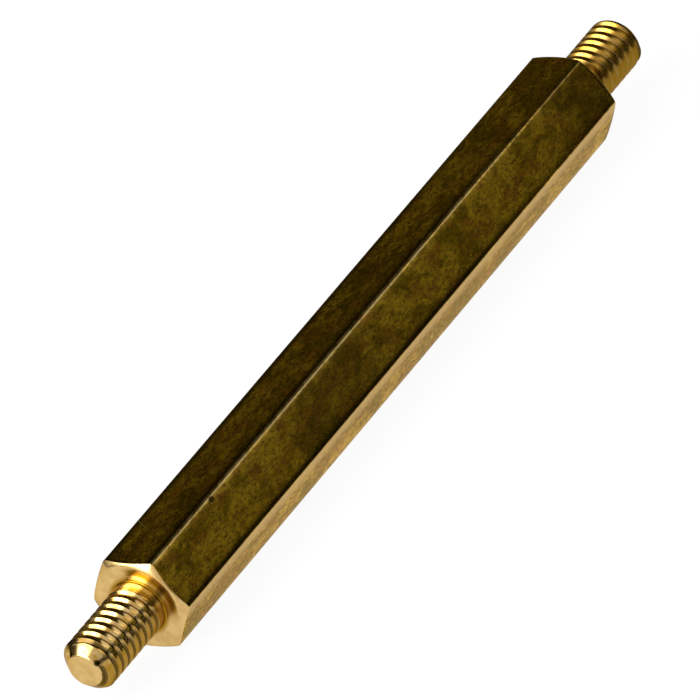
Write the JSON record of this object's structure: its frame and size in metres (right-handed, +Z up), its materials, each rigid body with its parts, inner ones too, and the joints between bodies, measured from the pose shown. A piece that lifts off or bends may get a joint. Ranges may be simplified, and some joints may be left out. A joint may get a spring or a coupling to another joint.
{
  "type": "hex standoff",
  "caption": "Brass male-to-male hex standoff: a long hexagon bar with chamfered ends and threaded end studs.",
  "frame": {"origin": "under the middle of the body, on the surface that the standoff lies on", "axes": "+X along the standoff's axis, +Z up, square to the flat that it lies on; +Y completes the frame, across the body"},
  "size_m": [0.0776, 0.008, 0.007],
  "materials": {
    "brass": "drawn and turned, lightly tarnished"
  },
  "bodies": {
    "root": {"standoff": "brass"}
  },
  "joints": []
}
